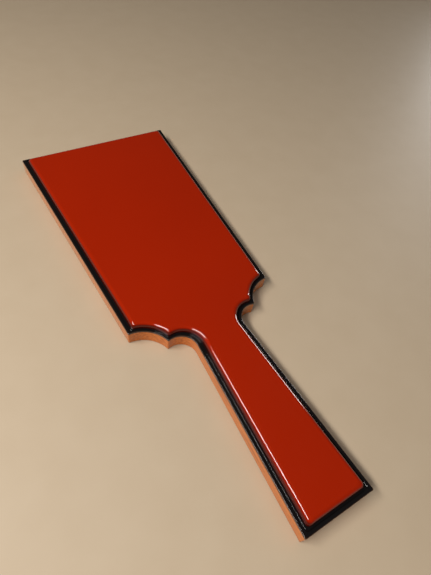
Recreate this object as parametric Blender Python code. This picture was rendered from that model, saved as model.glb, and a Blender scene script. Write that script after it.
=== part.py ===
"""Lacquered paddle board: three glued wooden layers, lined up by bamboo pegs.

Metres, +Z up. The board lies on its back, the handle points to -Y, and the origin is the middle of
the underside's bounding box.
"""

import math

import bmesh
import bpy
from mathutils import Vector

# Plan of the board, measured from the handle's square end
LENGTH = 0.300
BLADE_TOP_WIDTH = 0.1125
BLADE_LOW_WIDTH = 0.0949
SHOULDER_STATION = 0.1302
HANDLE_END_WIDTH = 0.0422
NECK_WIDTH = 0.0317
NECK_STATION = 0.1065
NECK_SCALLOP_RADIUS = 0.0099
SHOULDER_SCALLOP_RADIUS = 0.0187
SCALLOP_STEP_OUT = 0.0216
SCALLOP_STEP_UP = 0.0043

# Heights of the three layers
BACK_THICKNESS = 0.0089
BORDER_THICKNESS = 0.0010
PANEL_THICKNESS = 0.0032
GLUE_LINE = 0.0003

# Edges of the layers
BOARD_CORNER_RADIUS = 0.0007
BACK_EDGE_RADIUS = 0.0008
LEDGE_RIM_RADIUS = 0.0004
LEDGE_WIDTH = 0.0032
SCALLOP_LEDGE_WIDTH = 0.0021
GROOVE_WIDTH = 0.0006
GROOVE_DEPTH = 0.0002
GROOVE_PLACE = 0.66
PANEL_FOOT_HEIGHT = 0.0003
PANEL_CORNER_RADIUS = 0.0020

# Pegs through the border board
PEG_DIAMETER = 0.0040
PEG_DEPTH_IN_BACK = 0.0045
PEG_DEPTH_IN_PANEL = 0.0015
PEG_CHAMFER = 0.0004
PEG_CLEARANCE = 0.0003
PEG_FROM_BLADE_TOP = 0.028
PEG_FROM_BLADE_SIDE = 0.022
PEG_ABOVE_SHOULDER = 0.022
PEG_FROM_HANDLE_END = 0.022
PEG_BELOW_NECK = 0.018

# Facets on round stretches
ARC_STEPS = 10
CORNER_STEPS = 4
EDGE_STEPS = 5
GROOVE_STEPS = 6
PEG_SIDES = 24
SHARP_ANGLE = math.radians(40)

# Levels and places that follow from the sizes above
BORDER_FOOT = BACK_THICKNESS + GLUE_LINE
LEDGE_TOP = BORDER_FOOT + BORDER_THICKNESS
PANEL_FOOT = LEDGE_TOP + GLUE_LINE
PANEL_TOP = PANEL_FOOT + PANEL_THICKNESS
PANEL_EDGE_RADIUS = PANEL_THICKNESS - PANEL_FOOT_HEIGHT

# Finishes
AMBER = (0.40, 0.15, 0.045, 1.0)
VERMILION = (0.34, 0.013, 0.002, 1.0)
BLACK = (0.006, 0.005, 0.005, 1.0)
BAMBOO = (0.56, 0.40, 0.20, 1.0)
LACQUER_ROUGHNESS = 0.15
BAMBOO_ROUGHNESS = 0.6


def side_normal(start, end):
    """Unit normal of a right-hand edge that runs down the board, pointing out of it."""
    along = (end - start).normalized()
    return Vector((-along.y, along.x))


BLADE_TOP_POINT = Vector((BLADE_TOP_WIDTH / 2, LENGTH))
BLADE_LOW_POINT = Vector((BLADE_LOW_WIDTH / 2, SHOULDER_STATION))
BLADE_NORMAL = side_normal(BLADE_TOP_POINT, BLADE_LOW_POINT)

NECK_POINT = Vector((NECK_WIDTH / 2, NECK_STATION))
HANDLE_END_POINT = Vector((HANDLE_END_WIDTH / 2, 0.0))
HANDLE_NORMAL = side_normal(NECK_POINT, HANDLE_END_POINT)

TOP_NORMAL = Vector((0.0, 1.0))
END_NORMAL = Vector((0.0, -1.0))

# The neck scallop is tangent to the handle, and the shoulder scallop is stepped out from it
NECK_CENTRE = NECK_POINT + HANDLE_NORMAL * NECK_SCALLOP_RADIUS
SHOULDER_CENTRE = NECK_CENTRE + Vector((SCALLOP_STEP_OUT, SCALLOP_STEP_UP))


def lines_meet(normal_a, distance_a, normal_b, distance_b):
    """Point where two lines, each given as normal . point = distance, cross."""
    determinant = normal_a.x * normal_b.y - normal_a.y * normal_b.x
    x = (distance_a * normal_b.y - distance_b * normal_a.y) / determinant
    y = (normal_a.x * distance_b - normal_b.x * distance_a) / determinant
    return Vector((x, y))


def top_corner(inset):
    """Corner of blade top and blade side, with both edges moved in by inset."""
    side_distance = BLADE_NORMAL.dot(BLADE_TOP_POINT) - inset
    return lines_meet(TOP_NORMAL, LENGTH - inset, BLADE_NORMAL, side_distance)


def scallop_slack(inset):
    """How much less the scallops move in than the straight edges do, as their ledge is narrower."""
    return (LEDGE_WIDTH - SCALLOP_LEDGE_WIDTH) * min(inset / LEDGE_WIDTH, 1.0)


def neck_centre(inset):
    """Centre of the neck scallop that stays tangent to the handle's side, moved in by inset."""
    return NECK_CENTRE - HANDLE_NORMAL * scallop_slack(inset)


def shoulder_tip(inset, further):
    """Corner of blade side and shoulder scallop, both moved in by inset and then by further."""
    away = BLADE_NORMAL.dot(BLADE_TOP_POINT - SHOULDER_CENTRE) - inset - further
    radius = SHOULDER_SCALLOP_RADIUS + inset - scallop_slack(inset) + further
    up_the_side = Vector((-BLADE_NORMAL.y, BLADE_NORMAL.x))
    return SHOULDER_CENTRE + BLADE_NORMAL * away + up_the_side * math.sqrt(radius**2 - away**2)


def scallop_cusp(inset, further):
    """Point where the two scallops meet, both moved in by inset and then by further."""
    growth = inset - scallop_slack(inset) + further
    shoulder_radius = SHOULDER_SCALLOP_RADIUS + growth
    neck_radius = NECK_SCALLOP_RADIUS + growth
    step = SHOULDER_CENTRE - neck_centre(inset)
    along = (neck_radius**2 - shoulder_radius**2 + step.length_squared) / (2 * step.length)
    across = math.sqrt(neck_radius**2 - along**2)
    step.normalize()
    return neck_centre(inset) + step * along + Vector((-step.y, step.x)) * across


def end_corner(inset):
    """Corner of handle side and handle end, with both edges moved in by inset."""
    side_distance = HANDLE_NORMAL.dot(HANDLE_END_POINT) - inset
    return lines_meet(HANDLE_NORMAL, side_distance, END_NORMAL, -inset)


def arc(centre, radius, start_angle, end_angle, steps):
    """Points on an arc, both ends included."""
    points = []
    for step in range(steps + 1):
        angle = start_angle + (end_angle - start_angle) * step / steps
        points.append(centre + Vector((math.cos(angle), math.sin(angle))) * radius)
    return points


def angle_of(direction):
    return math.atan2(direction.y, direction.x)


def rounded_corner(centre, radius, first_normal, second_normal):
    """Convex fillet from one edge's normal to the next, going clockwise."""
    start = angle_of(first_normal)
    end = angle_of(second_normal)
    if end > start:
        end -= 2 * math.pi
    return arc(centre, radius, start, end, CORNER_STEPS)


def hollow(centre, first, last):
    """Inner points of a scallop from one point to another, on the circle round its centre."""
    radius = (first - centre).length
    start = angle_of(first - centre)
    end = angle_of(last - centre)
    if end < start:
        end += 2 * math.pi
    return arc(centre, radius, start, end, ARC_STEPS)[1:-1]


def outline(inset, corner_radius):
    """Whole outline moved in by inset, clockwise from the blade's top right corner.

    Each convex corner is a fillet, whose centre is the corner point of the outline moved in further
    by corner_radius. Every outline has as many points, so any two can be joined.
    """
    top = top_corner(inset + corner_radius)
    tip = shoulder_tip(inset, corner_radius)
    cusp = scallop_cusp(inset, corner_radius)
    end = end_corner(inset + corner_radius)
    neck_hub = neck_centre(inset)

    tip_round = rounded_corner(tip, corner_radius, BLADE_NORMAL, SHOULDER_CENTRE - tip)
    cusp_round = rounded_corner(cusp, corner_radius, SHOULDER_CENTRE - cusp, neck_hub - cusp)
    neck = NECK_POINT - HANDLE_NORMAL * inset
    right = rounded_corner(top, corner_radius, TOP_NORMAL, BLADE_NORMAL)
    right += tip_round
    right += hollow(SHOULDER_CENTRE, tip_round[-1], cusp_round[0])
    right += cusp_round
    right += hollow(neck_hub, cusp_round[-1], neck)
    right += [neck]
    right += rounded_corner(end, corner_radius, HANDLE_NORMAL, END_NORMAL)

    left = [Vector((-point.x, point.y)) for point in reversed(right)]
    return right + left


def board_place(x, station, z):
    """Point of the board from its place across, its distance from the handle end and its height."""
    return Vector((x, station - LENGTH / 2, z))


def finish(name, colour, roughness):
    """Principled material of one finish."""
    material = bpy.data.materials.new(name)
    material.use_nodes = True
    shader = material.node_tree.nodes["Principled BSDF"]
    shader.inputs["Base Color"].default_value = colour
    shader.inputs["Roughness"].default_value = roughness
    shader.inputs["Metallic"].default_value = 0.0
    material.diffuse_color = colour
    return material


def link_solid(name, mesh_builder, material):
    """Object made from a finished bmesh, smooth apart from its sharp edges."""
    mesh = bpy.data.meshes.new(name)
    mesh_builder.to_mesh(mesh)
    mesh_builder.free()
    mesh.shade_smooth()
    mesh.set_sharp_from_angle(angle=SHARP_ANGLE)
    mesh.materials.append(material)
    solid = bpy.data.objects.new(name, mesh)
    bpy.context.scene.collection.objects.link(solid)
    return solid


def layer(name, profile, material):
    """Solid that carries a profile round the outline.

    The profile runs from bottom to top, and each entry is an inset, a height and a corner radius.
    """
    mesh_builder = bmesh.new()
    rings = []
    for inset, height, corner_radius in profile:
        points = outline(inset, corner_radius)
        rings.append([mesh_builder.verts.new(board_place(p.x, p.y, height)) for p in points])
    count = len(rings[0])
    for lower, upper in zip(rings, rings[1:]):
        for index in range(count):
            after = (index + 1) % count
            mesh_builder.faces.new((lower[after], lower[index], upper[index], upper[after]))
    mesh_builder.faces.new(rings[0])
    mesh_builder.faces.new(reversed(rings[-1]))
    return link_solid(name, mesh_builder, material)


def round_edge(radius, start_angle, end_angle):
    """(depth, rise) pairs of a round edge: how far in from its outer face, and above its centre."""
    pairs = []
    for step in range(EDGE_STEPS + 1):
        angle = start_angle + (end_angle - start_angle) * step / EDGE_STEPS
        pairs.append((radius * (1.0 - math.cos(angle)), radius * math.sin(angle)))
    return pairs


def peg_stick(name, radius, foot, length, chamfer, material):
    """Upright round stick on its foot point, with chamfered ends where chamfer isn't zero."""
    mesh_builder = bmesh.new()
    bmesh.ops.create_cone(
        mesh_builder, cap_ends=True, segments=PEG_SIDES, radius1=radius, radius2=radius, depth=length
    )
    bmesh.ops.translate(mesh_builder, verts=mesh_builder.verts, vec=(0.0, 0.0, length / 2))
    if chamfer:
        rims = [edge for edge in mesh_builder.edges if edge.verts[0].co.z == edge.verts[1].co.z]
        bmesh.ops.bevel(mesh_builder, geom=rims, offset=chamfer, segments=1, affect="EDGES")
    stick = link_solid(name, mesh_builder, material)
    stick.location = foot
    return stick


def bore(solid, cutter):
    """Takes a hidden cutter out of a solid."""
    cut = solid.modifiers.new(cutter.name, "BOOLEAN")
    cut.operation = "DIFFERENCE"
    cut.solver = "EXACT"
    cut.object = cutter


def peg_places():
    """Name, place across and station of each peg."""
    blade_top = LENGTH - PEG_FROM_BLADE_TOP
    blade_low = SHOULDER_STATION + PEG_ABOVE_SHOULDER
    places = []
    for end_name, station in (("top", blade_top), ("low", blade_low)):
        run = (station - SHOULDER_STATION) / (LENGTH - SHOULDER_STATION)
        half_width = (BLADE_LOW_WIDTH + (BLADE_TOP_WIDTH - BLADE_LOW_WIDTH) * run) / 2
        across = half_width - PEG_FROM_BLADE_SIDE
        places.append((f"peg_blade_{end_name}_left", -across, station))
        places.append((f"peg_blade_{end_name}_right", across, station))
    places.append(("peg_handle_neck", 0.0, NECK_STATION - PEG_BELOW_NECK))
    places.append(("peg_handle_end", 0.0, PEG_FROM_HANDLE_END))
    return places


def back_board_profile():
    """Plain walls on a rounded lower edge."""
    profile = []
    for depth, rise in round_edge(BACK_EDGE_RADIUS, -math.pi / 2, 0.0):
        profile.append((depth, BACK_EDGE_RADIUS + rise, BOARD_CORNER_RADIUS))
    profile.append((0.0, BACK_THICKNESS, BOARD_CORNER_RADIUS))
    return profile


def black_border_profile():
    """Upright edge, rounded rim, and a flat with a fine half-sine groove along the ledge."""
    profile = [(0.0, BORDER_FOOT, BOARD_CORNER_RADIUS)]
    for depth, rise in round_edge(LEDGE_RIM_RADIUS, 0.0, math.pi / 2):
        profile.append((depth, LEDGE_TOP - LEDGE_RIM_RADIUS + rise, BOARD_CORNER_RADIUS))
    groove_start = LEDGE_WIDTH * GROOVE_PLACE - GROOVE_WIDTH / 2
    for step in range(GROOVE_STEPS + 1):
        inset = groove_start + GROOVE_WIDTH * step / GROOVE_STEPS
        height = LEDGE_TOP - GROOVE_DEPTH * math.sin(math.pi * step / GROOVE_STEPS)
        share = inset / LEDGE_WIDTH
        corner_radius = BOARD_CORNER_RADIUS + (PANEL_CORNER_RADIUS - BOARD_CORNER_RADIUS) * share
        profile.append((inset, height, corner_radius))
    return profile


def face_panel_profile():
    """Short upright foot under a bullnose edge."""
    profile = [(LEDGE_WIDTH, PANEL_FOOT, PANEL_CORNER_RADIUS)]
    for depth, rise in round_edge(PANEL_EDGE_RADIUS, 0.0, math.pi / 2):
        height = PANEL_TOP - PANEL_EDGE_RADIUS + rise
        profile.append((LEDGE_WIDTH + depth, height, PANEL_CORNER_RADIUS))
    return profile


def build():
    for old in list(bpy.data.objects):
        bpy.data.objects.remove(old, do_unlink=True)

    wall_finish = finish("amber_wall", AMBER, LACQUER_ROUGHNESS)
    ledge_finish = finish("black_ledge", BLACK, LACQUER_ROUGHNESS)
    face_finish = finish("vermilion_face", VERMILION, LACQUER_ROUGHNESS)
    back_board = layer("back_board", back_board_profile(), wall_finish)
    black_border = layer("black_border", black_border_profile(), ledge_finish)
    face_panel = layer("face_panel", face_panel_profile(), face_finish)

    # Pegs, and the holes that they stand in
    bamboo = finish("bamboo", BAMBOO, BAMBOO_ROUGHNESS)
    hole_foot = BACK_THICKNESS - PEG_DEPTH_IN_BACK
    hole_length = PANEL_FOOT + PEG_DEPTH_IN_PANEL - hole_foot
    hole_radius = PEG_DIAMETER / 2 + PEG_CLEARANCE
    peg_length = hole_length - 2 * PEG_CLEARANCE
    for name, across, station in peg_places():
        hole_place = board_place(across, station, hole_foot)
        hole = peg_stick(f"hole_{name}", hole_radius, hole_place, hole_length, 0.0, bamboo)
        hole.hide_render = True
        hole.display_type = "WIRE"
        for solid in (back_board, black_border, face_panel):
            bore(solid, hole)
        peg_place = board_place(across, station, hole_foot + PEG_CLEARANCE)
        peg_stick(name, PEG_DIAMETER / 2, peg_place, peg_length, PEG_CHAMFER, bamboo)


build()
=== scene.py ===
# %% [markdown]
# # A lacquered paddle board
#
# The object is a flat, hand-held board of the battledore outline. It is built in three layers: a thick
# board with amber sides at the back, a thin black board on it whose edge shows as a ledge, and a raised
# vermilion panel with a well-rounded edge. Bamboo pegs inside keep the layers in line.
#
# The solids are already made and packed, at their true sizes. This lesson dresses them: each layer gets
# a finer surface, every piece gets a lacquer or a wood, and the board is seen lying on a pale floor.

import math

import bpy
import numpy as np
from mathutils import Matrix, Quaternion, Vector


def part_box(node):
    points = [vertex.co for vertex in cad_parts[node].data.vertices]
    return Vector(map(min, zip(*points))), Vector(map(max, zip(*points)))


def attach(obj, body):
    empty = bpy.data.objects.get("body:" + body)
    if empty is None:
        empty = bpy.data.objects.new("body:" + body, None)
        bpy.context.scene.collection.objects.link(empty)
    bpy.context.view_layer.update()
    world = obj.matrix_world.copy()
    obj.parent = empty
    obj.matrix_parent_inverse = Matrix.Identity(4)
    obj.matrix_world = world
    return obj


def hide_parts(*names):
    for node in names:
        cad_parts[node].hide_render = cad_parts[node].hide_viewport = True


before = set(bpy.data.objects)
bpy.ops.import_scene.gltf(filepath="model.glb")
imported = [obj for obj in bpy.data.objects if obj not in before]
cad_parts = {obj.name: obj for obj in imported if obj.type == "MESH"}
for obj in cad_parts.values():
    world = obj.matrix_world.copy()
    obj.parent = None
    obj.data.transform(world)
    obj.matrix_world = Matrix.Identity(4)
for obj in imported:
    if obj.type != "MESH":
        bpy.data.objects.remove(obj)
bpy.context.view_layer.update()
print("packed nodes:", sorted(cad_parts))

# %% [markdown]
# ## The plan of the board
#
# On the real board the outline was sawn from a template and then smoothed. It could be traced as a curve
# by hand, but every later step needs the same outline moved in by some distance, once for each turn of
# an edge. So the plan is written as a few sizes, and the outline is worked out from them for any inset.
# The sizes are for a board 300 mm long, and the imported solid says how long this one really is.

# %% Sizes of the plan
DRAWN_LENGTH = 300.0
back_low, back_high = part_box("back_board")
border_low, border_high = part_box("black_border")
panel_low, panel_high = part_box("face_panel")
length = back_high.y - back_low.y
MM = length / DRAWN_LENGTH

blade_top_width = 112.5 * MM
blade_low_width = 94.9 * MM
shoulder_station = 130.2 * MM
handle_end_width = 42.2 * MM
neck_width = 31.7 * MM
neck_station = 106.5 * MM
neck_scallop_radius = 9.9 * MM
shoulder_scallop_radius = 18.7 * MM
scallop_step = (21.6 + 4.3j) * MM
panel_inset = back_high.y - panel_high.y
scallop_panel_inset = 2.1 * MM
print(f"board {length * 1000:.1f} mm long, {MM * 1000:.4f} mm to a drawn millimetre")

# %% [markdown]
# ## Points as complex numbers
#
# A point of the plan is one complex number: its real part runs across the board and its imaginary part
# runs up from the handle's end. Turning a direction by a quarter is then a product with 1j, and a whole
# row of points is one array. Only the right half is worked out, because the left half mirrors it.

# %% Edges and scallop centres of the right half
def dot(first, second):
    """Dot product of two directions held as complex numbers."""
    return (first * np.conj(second)).real


def outward_normal(start, end):
    """Unit normal of an edge that runs down the board's right side: its direction turned left."""
    return (end - start) / abs(end - start) * 1j


blade_top_point = blade_top_width / 2 + 1j * length
blade_low_point = blade_low_width / 2 + 1j * shoulder_station
blade_normal = outward_normal(blade_top_point, blade_low_point)
blade_distance = dot(blade_normal, blade_top_point)

neck_point = neck_width / 2 + 1j * neck_station
handle_end_point = handle_end_width / 2
handle_normal = outward_normal(neck_point, handle_end_point)
handle_distance = dot(handle_normal, handle_end_point)

neck_centre = neck_point + handle_normal * neck_scallop_radius
shoulder_centre = neck_centre + scallop_step
print(f"scallop centres: {neck_centre * 1000:.1f} and {shoulder_centre * 1000:.1f} mm")

# %% Corner points of the outline, moved in by an inset
def top_corner(inset):
    """Where the blade's top edge and its side cross, once both are moved in."""
    up = length - inset
    return (blade_distance - inset - blade_normal.imag * up) / blade_normal.real + 1j * up


def end_corner(inset):
    """Where the handle's side and its square end cross, once both are moved in."""
    return (handle_distance - inset - handle_normal.imag * inset) / handle_normal.real + 1j * inset


def scallop_slack(inset):
    """How much less the scallops move in than the straight edges do, as their ledge is narrower."""
    return (panel_inset - scallop_panel_inset) * np.clip(inset / panel_inset, 0, 1)


def neck_hub(inset):
    """Centre of the neck circle that still touches the handle's side, moved in."""
    return neck_centre - handle_normal * scallop_slack(inset)


def shoulder_tip(inset, further):
    """Where the blade's side and the shoulder circle cross, both moved in by inset and by further."""
    away = blade_distance - inset - further - dot(blade_normal, shoulder_centre)
    radius = shoulder_scallop_radius + inset - scallop_slack(inset) + further
    return shoulder_centre + blade_normal * (away + 1j * np.sqrt(radius**2 - away**2))


def scallop_cusp(inset, further):
    """Where the two scallop circles cross, both moved in by inset and by further."""
    growth = inset - scallop_slack(inset) + further
    shoulder_radius = shoulder_scallop_radius + growth
    neck_radius = neck_scallop_radius + growth
    step = shoulder_centre - neck_hub(inset)
    along = (neck_radius**2 - shoulder_radius**2 + np.abs(step) ** 2) / (2 * np.abs(step))
    across = np.sqrt(neck_radius**2 - along**2)
    return neck_hub(inset) + step / np.abs(step) * (along + 1j * across)


# %% Stretches that the outline is joined from
STRAIGHT_STEPS = 24
SHORT_STEPS = 8
CORNER_STEPS = 10
SCALLOP_STEPS = 36


def straight(start, end, steps):
    """Even steps from start to end, for every row at once, with the end left out."""
    share = np.arange(steps) / steps
    return start[:, None] + (end - start)[:, None] * share


def turn(centre, start, end, steps, way):
    """Even steps round a centre from start to end, for every row at once, with the end left out.

    Point = centre + radius * (cosine, sine) of an angle that grows evenly; way is +1 for a turn to the
    left and -1 for a turn to the right.
    """
    from_angle = np.angle(start - centre)
    sweep = np.mod(way * (np.angle(end - centre) - from_angle), 2 * np.pi) * way
    angle = from_angle[:, None] + sweep[:, None] * np.arange(steps) / steps
    return centre[:, None] + np.abs(start - centre)[:, None] * np.exp(1j * angle)


def toward(point, target):
    """Unit direction from a point to a target."""
    return (target - point) / np.abs(target - point)


# %% The whole outline
def board_outline(inset, corner_radius):
    """Outlines moved in by each inset, with each corner radius: one row of complex points for each.

    Every convex corner is an arc whose centre is the corner point of the outline moved in further by
    the corner radius. The right half runs down from the middle of the blade's top edge, and the left
    half is its mirror image, so the points go clockwise round the board.
    """
    top = top_corner(inset + corner_radius)
    tip = shoulder_tip(inset, corner_radius)
    cusp = scallop_cusp(inset, corner_radius)
    end = end_corner(inset + corner_radius)
    hub_shoulder = shoulder_centre * np.ones_like(inset)
    hub_neck = neck_hub(inset)

    top_start = top + 1j * corner_radius
    top_end = top + blade_normal * corner_radius
    tip_start = tip + blade_normal * corner_radius
    tip_end = tip + toward(tip, shoulder_centre) * corner_radius
    cusp_start = cusp + toward(cusp, shoulder_centre) * corner_radius
    cusp_end = cusp + toward(cusp, hub_neck) * corner_radius
    neck = neck_point - handle_normal * inset
    end_start = end + handle_normal * corner_radius
    end_end = end - 1j * corner_radius

    right = np.concatenate(
        [
            straight(1j * top_start.imag, top_start, SHORT_STEPS),
            turn(top, top_start, top_end, CORNER_STEPS, -1),
            straight(top_end, tip_start, STRAIGHT_STEPS),
            turn(tip, tip_start, tip_end, CORNER_STEPS, -1),
            turn(hub_shoulder, tip_end, cusp_start, SCALLOP_STEPS, 1),
            turn(cusp, cusp_start, cusp_end, CORNER_STEPS, -1),
            turn(hub_neck, cusp_end, neck, SCALLOP_STEPS, 1),
            straight(neck, end_start, STRAIGHT_STEPS),
            turn(end, end_start, end_end, CORNER_STEPS, -1),
            straight(end_end, 1j * end_end.imag, SHORT_STEPS),
        ],
        axis=1,
    )
    foot = 1j * end_end.imag[:, None]
    left = -np.conj(right[:, :0:-1])
    return np.concatenate([right, foot, left], axis=1)


BOARD_CORNER = 0.7 * MM
outer = board_outline(np.zeros(1), np.full(1, BOARD_CORNER))[0]
print(f"outline of {outer.size} points, {np.ptp(outer.real) * 1000:.1f} mm wide")

# %% [markdown]
# ## Carrying a profile round the outline
#
# Each layer has one edge profile all the way round: a list of insets and heights, from its lower face to
# its upper one. A bevel modifier could round a plain slab, but it can't cut the black layer's groove, and
# its width would suffer in the tight scallops. So each row of the profile becomes one moved-in outline
# at its height, neighbouring rows are joined by quads, and a flat face closes each end.
#
# Lacquer draws back from convex edges and gathers in hollows. Each row carries how thickly it lies as
# a vertex attribute, from the thinnest coat through that of a flat to a hollow's. The finishes read it,
# and they paint the thick coat of a hollow darker, as painted shade.

# %% Mesh of one layer
LACQUER_BUILD = "lacquer_build"
THIN_COAT, FLAT_COAT, THICK_COAT = 0.0, 0.5, 1.0
SHARP_ANGLE = math.radians(40)


def lacquered_layer(name, inset, height, corner_radius, build):
    """Closed surface: point (row, step) is the outline of that row's inset, at that row's height."""
    plan = board_outline(inset, corner_radius)
    rows, steps = plan.shape
    level = np.broadcast_to(height[:, None], plan.shape)
    points = np.stack([plan.real, plan.imag - length / 2, level], axis=-1).reshape(-1, 3)
    index = np.arange(rows * steps).reshape(rows, steps)
    after = np.roll(index, -1, axis=1)
    walls = np.stack([after[:-1], index[:-1], index[1:], after[1:]], axis=-1).reshape(-1, 4)

    mesh = bpy.data.meshes.new(name)
    ends = [index[0].tolist(), index[-1, ::-1].tolist()]
    mesh.from_pydata(points.tolist(), [], walls.tolist() + ends)
    mesh.shade_smooth()
    mesh.set_sharp_from_angle(angle=SHARP_ANGLE)
    attribute = mesh.attributes.new(LACQUER_BUILD, "FLOAT", "POINT")
    attribute.data.foreach_set("value", np.repeat(build, steps).astype(np.float32))
    piece = bpy.data.objects.new(name, mesh)
    bpy.context.scene.collection.objects.link(piece)
    print(f"{name}: {rows} rows of {steps} points, top at {height.max() * 1000:.2f} mm")
    return piece


def quarter(start, end, steps):
    """Angles of a quarter turn, in radians, both ends included."""
    return np.radians(np.linspace(start, end, steps))


# %% [markdown]
# ## The back board
#
# The thick board at the bottom. Its wall is upright, its lower edge is eased by hand, and its upper edge
# is hidden by the black layer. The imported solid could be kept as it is, but its scallops have fewer and
# flatter faces, which gloss would show. The gap that the solids keep for the glue is closed here.

# %% Back board
BACK_EDGE = 0.8 * MM
EASED_EDGE_LOSS = 0.4
FLAT_MARGIN = 0.6 * MM
EDGE_STEPS = 9

ease = quarter(-90, 0, EDGE_STEPS)
inset = np.concatenate([[BACK_EDGE + FLAT_MARGIN], BACK_EDGE * (1 - np.cos(ease)), [0, FLAT_MARGIN]])
height = np.concatenate([[0], BACK_EDGE * (1 + np.sin(ease)), [border_low.z, border_low.z]])
build = np.concatenate(
    [[FLAT_COAT], FLAT_COAT - EASED_EDGE_LOSS * np.sin(-2 * ease), [FLAT_COAT, FLAT_COAT]]
)
corner = np.full_like(inset, BOARD_CORNER)
back_board = lacquered_layer("back_board_wall", inset, height, corner, build)

# %% [markdown]
# ## The black border
#
# A thin sheet whose edge is seen all round as the black ledge. Its rim is slightly rounded, and a fine
# groove runs along the ledge. It shows as a thin light line in the black, because one flank of a groove
# always leans towards the lamp. A line could be painted on, but it wouldn't change with the light, so
# the groove is cut: across it, the depth follows half a sine wave.

# %% Black border
RIM_RADIUS = 0.4 * MM
GROOVE_WIDTH = 0.6 * MM
GROOVE_DEPTH = 0.2 * MM
GROOVE_PLACE = 0.66
GROOVE_STEPS = 17
GUARD = 0.05 * MM
PANEL_CORNER = 2.0 * MM

groove_start = panel_inset * GROOVE_PLACE - GROOVE_WIDTH / 2
groove_end = groove_start + GROOVE_WIDTH
ledge_top = border_high.z

rim = quarter(0, 90, EDGE_STEPS)
across_groove = np.linspace(0, 1, GROOVE_STEPS)
dip = np.sin(np.pi * across_groove)
inset = np.concatenate(
    [
        [FLAT_MARGIN, 0],
        RIM_RADIUS * (1 - np.cos(rim)),
        [groove_start - GUARD],
        groove_start + GROOVE_WIDTH * across_groove,
        [groove_end + GUARD, panel_inset + FLAT_MARGIN],
    ]
)
height = np.concatenate(
    [
        [border_low.z, border_low.z],
        ledge_top - RIM_RADIUS * (1 - np.sin(rim)),
        [ledge_top],
        ledge_top - GROOVE_DEPTH * dip,
        [ledge_top, ledge_top],
    ]
)
build = np.concatenate(
    [
        [FLAT_COAT, FLAT_COAT],
        # The rim's brown is wear where the black is rubbed thin, and partly a painted reflection.
        FLAT_COAT + (THIN_COAT - FLAT_COAT) * np.sin(2 * rim),
        [FLAT_COAT],
        # The groove's thick coat is painted darker in the finish, as shade.
        FLAT_COAT + (THICK_COAT - FLAT_COAT) * dip,
        [FLAT_COAT, FLAT_COAT],
    ]
)
corner = BOARD_CORNER + (PANEL_CORNER - BOARD_CORNER) * np.clip(inset / panel_inset, 0, 1)
black_border = lacquered_layer("black_border_ledge", inset, height, corner, build)

# %% [markdown]
# ## The face panel
#
# The raised vermilion panel fills the face. Its edge is a full bullnose, from a short upright foot to the
# flat, and its corners are rounder than the board's. So small a round could be faked in the shading,
# but its outline would stay square, so it is modelled. The vermilion coat thins out down the bullnose,
# and its lower part is a dark red.

# %% Face panel
BULLNOSE_STEPS = 25
FOOT_HEIGHT = 0.3 * MM
COAT_THIN_BELOW = 28
COAT_FULL_ABOVE = 56

bullnose_radius = panel_high.z - panel_low.z - FOOT_HEIGHT
nose = quarter(0, 90, BULLNOSE_STEPS)
inset = panel_inset + np.concatenate(
    [[FLAT_MARGIN, 0], bullnose_radius * (1 - np.cos(nose)), [bullnose_radius + FLAT_MARGIN]]
)
height = np.concatenate(
    [
        [border_high.z, border_high.z],
        panel_high.z - bullnose_radius * (1 - np.sin(nose)),
        [panel_high.z],
    ]
)
coat = np.clip((np.degrees(nose) - COAT_THIN_BELOW) / (COAT_FULL_ABOVE - COAT_THIN_BELOW), 0, 1)
smooth_coat = coat**2 * (3 - 2 * coat)
build = np.concatenate([[THIN_COAT, THIN_COAT], FLAT_COAT * smooth_coat, [FLAT_COAT]])
corner = np.full_like(inset, PANEL_CORNER)
face_panel = lacquered_layer("face_panel_lacquered", inset, height, corner, build)

# %% [markdown]
# ## Finishes as node graphs
#
# A finish is a graph of nodes that ends in one shader. Pictures of lacquer could be wrapped round the
# board, but a graph has no seams and no smallest grain, and it can follow the board's own coordinates.

# %% Helper for node graphs
MIX_FACTOR, MIX_FIRST, MIX_SECOND, MIX_COLOUR = 0, 6, 7, 2


def add_node(material, kind, values=None, links=None):
    """Adds a node, sets sockets to values, and links sockets to other nodes' outputs."""
    node = material.node_tree.nodes.new(kind)
    for socket, value in (values or {}).items():
        node.inputs[socket].default_value = value
    for socket, output in (links or {}).items():
        material.node_tree.links.new(output, node.inputs[socket])
    return node


def mix_colour(material, factor, first, second):
    """Mixes two colours, each given as a colour or as an output, by an output."""
    node = add_node(material, "ShaderNodeMix")
    node.data_type = "RGBA"
    material.node_tree.links.new(factor, node.inputs[MIX_FACTOR])
    for socket, colour in ((MIX_FIRST, first), (MIX_SECOND, second)):
        if isinstance(colour, bpy.types.NodeSocket):
            material.node_tree.links.new(colour, node.inputs[socket])
        else:
            node.inputs[socket].default_value = colour
    return node.outputs[MIX_COLOUR]


def map_range(material, value, low, high, to_low=0.0, to_high=1.0):
    """Stretches an output's values from low..high to to_low..to_high, and clamps them."""
    node = add_node(
        material,
        "ShaderNodeMapRange",
        {"From Min": low, "From Max": high, "To Min": to_low, "To Max": to_high},
        {"Value": value},
    )
    return node.outputs["Result"]


def noise(material, place, size, detail):
    """Noise with blotches of about the given size in metres; its values lie mostly in 0.3 to 0.7."""
    return add_node(
        material, "ShaderNodeTexNoise", {"Scale": 1 / size, "Detail": detail}, {"Vector": place}
    ).outputs[0]


# %% [markdown]
# ## The gloss of lacquer
#
# Lacquer is brushed or sprayed in many thin coats and then polished. Seen close, its gloss has faint
# cloudy patches from polishing and handling, its surface has a slight ripple, and a few specks of dust
# have settled in it. All the lacquers here share this gloss, and only their colours differ.

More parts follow.
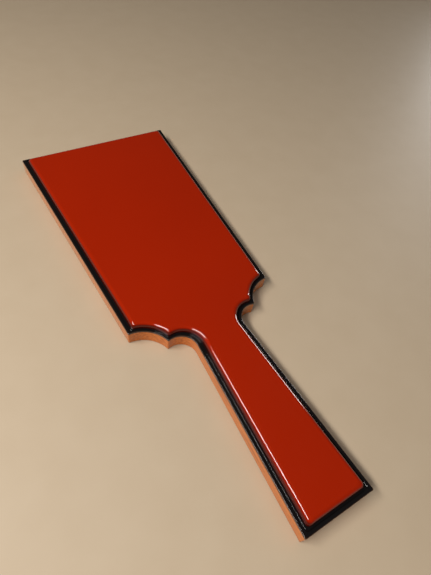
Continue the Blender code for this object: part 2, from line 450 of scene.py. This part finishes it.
# %% Gloss, ripple and dust
DUST = (0.60, 0.45, 0.38, 1.0)
DUST_CELLS_PER_METRE = 30.0
SPECK_EDGE, SPECK_CORE = 0.010, 0.005
CELL_LEFT_OUT, CELL_CHOSEN = 0.62, 0.64
HAZE_SIZE = 0.025
HAZE_SPAN = (0.3, 0.75)
POLISHED, HANDLED = 0.06, 0.11
RIPPLE_SIZE = 0.007
RIPPLE = {"Strength": 0.05, "Distance": 0.00005}
NIBS = {"Strength": 0.5, "Distance": 0.0001}
LACQUER_IOR = 1.55


def lacquer_base(name):
    """New material with its shader, its Object coordinates and how thickly the coat lies."""
    material = bpy.data.materials.new(name)
    material.use_nodes = True
    place = add_node(material, "ShaderNodeTexCoord").outputs["Object"]
    thickness = add_node(material, "ShaderNodeAttribute")
    thickness.attribute_name = LACQUER_BUILD
    return material, place, thickness.outputs["Fac"]


def lacquer_gloss(material, place, colour):
    """Puts a colour under polished gloss, with clouds, a ripple and dust specks.

    A speck is the middle of one of a few cells, chosen by colour, of a coarse Voronoi pattern.
    """
    shader = material.node_tree.nodes["Principled BSDF"]
    link = material.node_tree.links.new
    cells = add_node(material, "ShaderNodeTexVoronoi", {"Scale": DUST_CELLS_PER_METRE}, {"Vector": place})
    near = map_range(material, cells.outputs["Distance"], SPECK_EDGE, SPECK_CORE)
    chosen = map_range(material, cells.outputs["Color"], CELL_LEFT_OUT, CELL_CHOSEN)
    dust = add_node(material, "ShaderNodeMath", links={0: near, 1: chosen})
    dust.operation = "MULTIPLY"
    link(mix_colour(material, dust.outputs[0], colour, DUST), shader.inputs["Base Color"])

    haze = noise(material, place, HAZE_SIZE, detail=4.0)
    link(map_range(material, haze, *HAZE_SPAN, POLISHED, HANDLED), shader.inputs["Roughness"])

    ripple = noise(material, place, RIPPLE_SIZE, detail=1.0)
    relief = add_node(material, "ShaderNodeBump", RIPPLE, {"Height": ripple})
    nibs = add_node(
        material,
        "ShaderNodeBump",
        NIBS,
        {"Height": dust.outputs[0], "Normal": relief.outputs["Normal"]},
    )
    link(nibs.outputs["Normal"], shader.inputs["Normal"])
    shader.inputs["IOR"].default_value = LACQUER_IOR


# %% [markdown]
# ## Vermilion and black
#
# The two pigmented lacquers hide the wood. Where the vermilion is thin, the black coat below shows
# through and darkens it. Black lacquer turns a little brown where it is rubbed thin, and on the rim that
# brown is also a painted reflection. In hollows both are painted darker, as shade. Each could have a
# graph of its own, but they differ only in three colours, so one helper makes both.

# %% Helper for pigmented lacquers
CLOUD_SIZE = 0.06
CLOUD_SPAN = (0.35, 0.7)
CLOUD_STRENGTH = 0.12


def pigment_lacquer(name, thin_and_reflection, full, clouds_and_shade):
    """Lacquer from its drawn-back colour at edges to a darker colour in hollows, which is painted shade.
    """
    material, place, build_up = lacquer_base(name)
    # Drawn-back edges take the rubbed colour; on the black rim it is partly a painted reflection.
    colour = mix_colour(material, map_range(material, build_up, FLAT_COAT, THIN_COAT), full, thin_and_reflection)
    # Hollows take the darker colour, which is painted shade.
    colour = mix_colour(material, map_range(material, build_up, FLAT_COAT, THICK_COAT), colour, clouds_and_shade)
    clouds = noise(material, place, CLOUD_SIZE, detail=3.0)
    cloud_share = map_range(material, clouds, *CLOUD_SPAN, 0.0, CLOUD_STRENGTH)
    colour = mix_colour(material, cloud_share, colour, clouds_and_shade)
    lacquer_gloss(material, place, colour)
    return material


# %% Vermilion and black
VERMILION_THIN = (0.075, 0.003, 0.0004, 1.0)
VERMILION = (0.34, 0.0135, 0.0003, 1.0)
VERMILION_DEEP = (0.23, 0.0075, 0.0002, 1.0)
# The black's brown, where it is rubbed thin, is on the rim also a painted reflection.
BLACK_RUBBED_AND_REFLECTION = (0.065, 0.030, 0.016, 1.0)
BLACK = (0.006, 0.005, 0.005, 1.0)
# The darkest black is painted shade in the groove, and also tints the clouds.
BLACK_CLOUDS_AND_SHADE = (0.003, 0.0025, 0.0025, 1.0)

face_lacquer = pigment_lacquer("vermilion_face_lacquer", VERMILION_THIN, VERMILION, VERMILION_DEEP)
ledge_lacquer = pigment_lacquer("black_ledge_lacquer", BLACK_RUBBED_AND_REFLECTION, BLACK, BLACK_CLOUDS_AND_SHADE)
face_panel.data.materials.append(face_lacquer)
black_border.data.materials.append(ledge_lacquer)
print("pigmented lacquers:", face_lacquer.name, ledge_lacquer.name)

# %% [markdown]
# ## Amber sides
#
# The sides of the back board have a clear amber lacquer, under which the wood's grain can be seen. A
# wave pattern could draw grain too, but it would be very even. Here a noise is stretched a long way
# along the board. On the board's ends it is cut across, and shows as the fine dots of end grain.

# %% Clear amber lacquer over wood
AMBER_LIGHT = (0.66, 0.18, 0.018, 1.0)
AMBER_DARK = (0.40, 0.085, 0.006, 1.0)
AMBER_THIN = (0.58, 0.27, 0.10, 1.0)
GRAIN_STRETCH = (1.0, 0.03, 1.0)
GRAIN_SIZE = 0.0012
GRAIN_SPAN = (0.35, 0.70)
GRAIN_STRENGTH = 0.8

amber_lacquer, amber_place, amber_build = lacquer_base("amber_wall_lacquer")
along_grain = add_node(
    amber_lacquer, "ShaderNodeMapping", {"Scale": GRAIN_STRETCH}, {"Vector": amber_place}
).outputs["Vector"]
grain = noise(amber_lacquer, along_grain, GRAIN_SIZE, detail=4.0)
grain_share = map_range(amber_lacquer, grain, *GRAIN_SPAN, 0.0, GRAIN_STRENGTH)
amber = mix_colour(amber_lacquer, grain_share, AMBER_LIGHT, AMBER_DARK)
amber_thin_share = map_range(amber_lacquer, amber_build, FLAT_COAT, THIN_COAT)
lacquer_gloss(amber_lacquer, amber_place, mix_colour(amber_lacquer, amber_thin_share, amber, AMBER_THIN))
back_board.data.materials.append(amber_lacquer)
print("clear lacquer:", amber_lacquer.name)

# %% [markdown]
# ## Bamboo pegs
#
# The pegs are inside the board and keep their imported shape. Split bamboo has straight fibres along the
# stick, so a noise is stretched along its length and mixes two straw colours.

# %% Bamboo finish
STRAW = (0.60, 0.44, 0.22, 1.0)
FIBRE = (0.38, 0.25, 0.10, 1.0)
FIBRE_STRETCH = (1.0, 1.0, 0.06)
FIBRE_SIZE = 0.0005
FIBRE_TONE_SPAN, FIBRE_GLOSS_SPAN = (0.4, 0.65), (0.3, 0.7)
SMOOTH_FIBRE, ROUGH_FIBRE = 0.5, 0.75
FIBRE_RELIEF = {"Strength": 0.4, "Distance": 0.0002}

bamboo = bpy.data.materials.new("split_bamboo")
bamboo.use_nodes = True
bamboo_shader = bamboo.node_tree.nodes["Principled BSDF"]
stick_place = add_node(bamboo, "ShaderNodeTexCoord").outputs["Object"]
stretch = add_node(bamboo, "ShaderNodeMapping", {"Scale": FIBRE_STRETCH}, {"Vector": stick_place})
fibres = noise(bamboo, stretch.outputs["Vector"], FIBRE_SIZE, detail=4.0)
fibre_share = map_range(bamboo, fibres, *FIBRE_TONE_SPAN)
straw_tone = mix_colour(bamboo, fibre_share, STRAW, FIBRE)
bamboo.node_tree.links.new(straw_tone, bamboo_shader.inputs["Base Color"])
fibre_gloss = map_range(bamboo, fibres, *FIBRE_GLOSS_SPAN, SMOOTH_FIBRE, ROUGH_FIBRE)
bamboo.node_tree.links.new(fibre_gloss, bamboo_shader.inputs["Roughness"])
fibre_relief = add_node(bamboo, "ShaderNodeBump", FIBRE_RELIEF, {"Height": fibres})
bamboo.node_tree.links.new(fibre_relief.outputs["Normal"], bamboo_shader.inputs["Normal"])

peg_names = sorted(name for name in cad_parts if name.startswith("peg_"))
for name in peg_names:
    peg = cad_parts[name]
    peg.data.materials.clear()
    peg.data.materials.append(bamboo)
print("pegs:", peg_names)

# %% [markdown]
# ## Joining the looks to the solids
#
# Each new surface rides on the one body of the board and stands for the solid of its layer.

# %% Join each piece to its solid
for piece, node, finish in (
    (back_board, "back_board", "amber_wall"),
    (black_border, "black_border", "black_ledge"),
    (face_panel, "face_panel", "vermilion_face"),
):
    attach(piece, "root")
    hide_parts(node)
    print(piece.name, "stands for", node)

# %% [markdown]
# ## A pale floor
#
# The board lies on a plain pale floor, which is only a stage. It is so large that its edge, seen from
# low down, is a far horizon. Its colour is slightly uneven, so that it doesn't look like paper.

# %% Floor
FLOOR_REACH = 6.0
FLOOR_COLOUR = (0.52, 0.41, 0.285, 1.0)
FLOOR_SHADE = (0.48, 0.37, 0.25, 1.0)
FLOOR_BLOTCH_SIZE = 0.02
FLOOR_ROUGHNESS = 0.6

corners = np.array([[-1, -1, 0], [1, -1, 0], [1, 1, 0], [-1, 1, 0]]) * FLOOR_REACH
floor_mesh = bpy.data.meshes.new("pale_floor")
floor_mesh.from_pydata(corners.tolist(), [], [[0, 1, 2, 3]])
floor = bpy.data.objects.new("pale_floor", floor_mesh)
bpy.context.scene.collection.objects.link(floor)
floor_paint = bpy.data.materials.new("pale_floor_paint")
floor_paint.use_nodes = True
floor_shader = floor_paint.node_tree.nodes["Principled BSDF"]
floor_place = add_node(floor_paint, "ShaderNodeTexCoord").outputs["Object"]
blotches = noise(floor_paint, floor_place, FLOOR_BLOTCH_SIZE, detail=4.0)
floor_tone = mix_colour(floor_paint, blotches, FLOOR_COLOUR, FLOOR_SHADE)
floor_paint.node_tree.links.new(floor_tone, floor_shader.inputs["Base Color"])
floor_shader.inputs["Roughness"].default_value = FLOOR_ROUGHNESS
floor_mesh.materials.append(floor_paint)
print(f"floor {2 * FLOOR_REACH:.0f} m across")

# %% [markdown]
# ## Light
#
# Gloss shows what stands round an object, so the lamps are placed for their reflections first. A long
# soft lamp to the left lights the board and draws the white line along the panel's rounded edge. A low
# one to the right is seen only in reflections, and draws the fine line on the handle's other side. A
# broad light from straight above softens the shadows and reaches the far floor, and it is kept out of
# reflections. The rest of the room is dim, and darkest above, because the flat face mirrors that part
# and has to keep its deep red.

# %% Helper for lamps
def soft_lamp(name, place, aim, size, power, colour):
    """Area lamp, size wide and high, at a place, turned to an aim point."""
    data = bpy.data.lights.new(name, "AREA")
    data.shape = "RECTANGLE"
    data.size, data.size_y = size
    data.energy = power
    data.color = colour
    lamp = bpy.data.objects.new(name, data)
    lamp.location = place
    lamp.rotation_euler = (Vector(aim) - Vector(place)).to_track_quat("-Z", "Y").to_euler()
    bpy.context.scene.collection.objects.link(lamp)
    return lamp


# %% Key lamp and rim lamp
HANDLE_MIDDLE = Vector((0.0, -0.10, 0.01))
KEY_WAY, KEY_DISTANCE = Vector((-0.62, 0.09, 0.78)), 0.75
KEY_SIZE, KEY_POWER, KEY_COLOUR = (0.60, 0.12), 6.0, (1.0, 0.97, 0.93)
RIM_WAY, RIM_DISTANCE = Vector((0.93, 0.34, 0.11)), 0.80
RIM_SIZE, RIM_POWER, RIM_COLOUR = (0.26, 0.14), 1.9, (1.0, 1.0, 1.0)

key_place = HANDLE_MIDDLE + KEY_WAY * KEY_DISTANCE
rim_place = HANDLE_MIDDLE + RIM_WAY * RIM_DISTANCE
key_lamp = soft_lamp("key_lamp", key_place, HANDLE_MIDDLE, KEY_SIZE, KEY_POWER, KEY_COLOUR)
rim_lamp = soft_lamp("rim_lamp", rim_place, HANDLE_MIDDLE, RIM_SIZE, RIM_POWER, RIM_COLOUR)
rim_lamp.visible_diffuse = False
for lamp in (key_lamp, rim_lamp):
    print(f"{lamp.name}: {lamp.data.energy:.1f} W, {(lamp.location - HANDLE_MIDDLE).length:.2f} m away")

# %% Broad light from above
FILL_STRENGTH = 0.66
FILL_SPREAD = math.radians(80)

fill_data = bpy.data.lights.new("fill_light", "SUN")
fill_data.energy = FILL_STRENGTH
fill_data.angle = FILL_SPREAD
fill_light = bpy.data.objects.new("fill_light", fill_data)
fill_light.visible_glossy = False
bpy.context.scene.collection.objects.link(fill_light)
print(f"{fill_light.name}: {FILL_STRENGTH:.2f} W to a square metre")

# %% Room
CEILING = (0.03, 0.029, 0.028, 1.0)
WALLS = (0.15, 0.14, 0.125, 1.0)
WALLS_END, CEILING_START = 0.10, 0.45

room = bpy.data.worlds.new("room")
room.use_nodes = True
bpy.context.scene.world = room
room_light = room.node_tree.nodes["Background"]
sky_way = add_node(room, "ShaderNodeTexCoord").outputs["Generated"]
sky_height = add_node(room, "ShaderNodeSeparateXYZ", links={"Vector": sky_way}).outputs["Z"]
ceiling_share = map_range(room, sky_height, WALLS_END, CEILING_START)
room.node_tree.links.new(mix_colour(room, ceiling_share, WALLS, CEILING), room_light.inputs["Color"])
room_light.inputs["Strength"].default_value = 1.0
print(f"room: walls {WALLS[0]:.2f}, ceiling {CEILING[0]:.2f}")

# %% [markdown]
# ## Camera
#
# The camera is a phone's wide lens held above the handle's left side, turned a little, so the blade runs
# away to the upper left. Its place, aim and roll were solved from the corners of the board.

# %% Camera
IMAGE_HEIGHT = 575
FOCAL_PIXELS = 432.0
SENSOR_HEIGHT = 36.0
NEAREST_SEEN = 0.01
CAMERA_PLACE = Vector((-90.76, -139.62, 221.82)) * MM
CAMERA_AIM = Vector((18.54, -7.10, 0.40)) * MM
CAMERA_ROLL = math.radians(11.16)

camera_data = bpy.data.cameras.new("camera")
camera_data.sensor_fit = "VERTICAL"
camera_data.sensor_height = SENSOR_HEIGHT
camera_data.lens = FOCAL_PIXELS / IMAGE_HEIGHT * SENSOR_HEIGHT
camera_data.clip_start = NEAREST_SEEN
camera = bpy.data.objects.new("camera", camera_data)
camera.location = CAMERA_PLACE
camera.rotation_mode = "QUATERNION"
level_view = (CAMERA_AIM - CAMERA_PLACE).to_track_quat("-Z", "Y")
camera.rotation_quaternion = level_view @ Quaternion((0.0, 0.0, 1.0), CAMERA_ROLL)
bpy.context.scene.collection.objects.link(camera)
bpy.context.scene.camera = camera
bpy.context.scene.view_settings.view_transform = "Standard"
print(f"lens {camera_data.lens:.2f} mm on a sensor {SENSOR_HEIGHT:.0f} mm high")
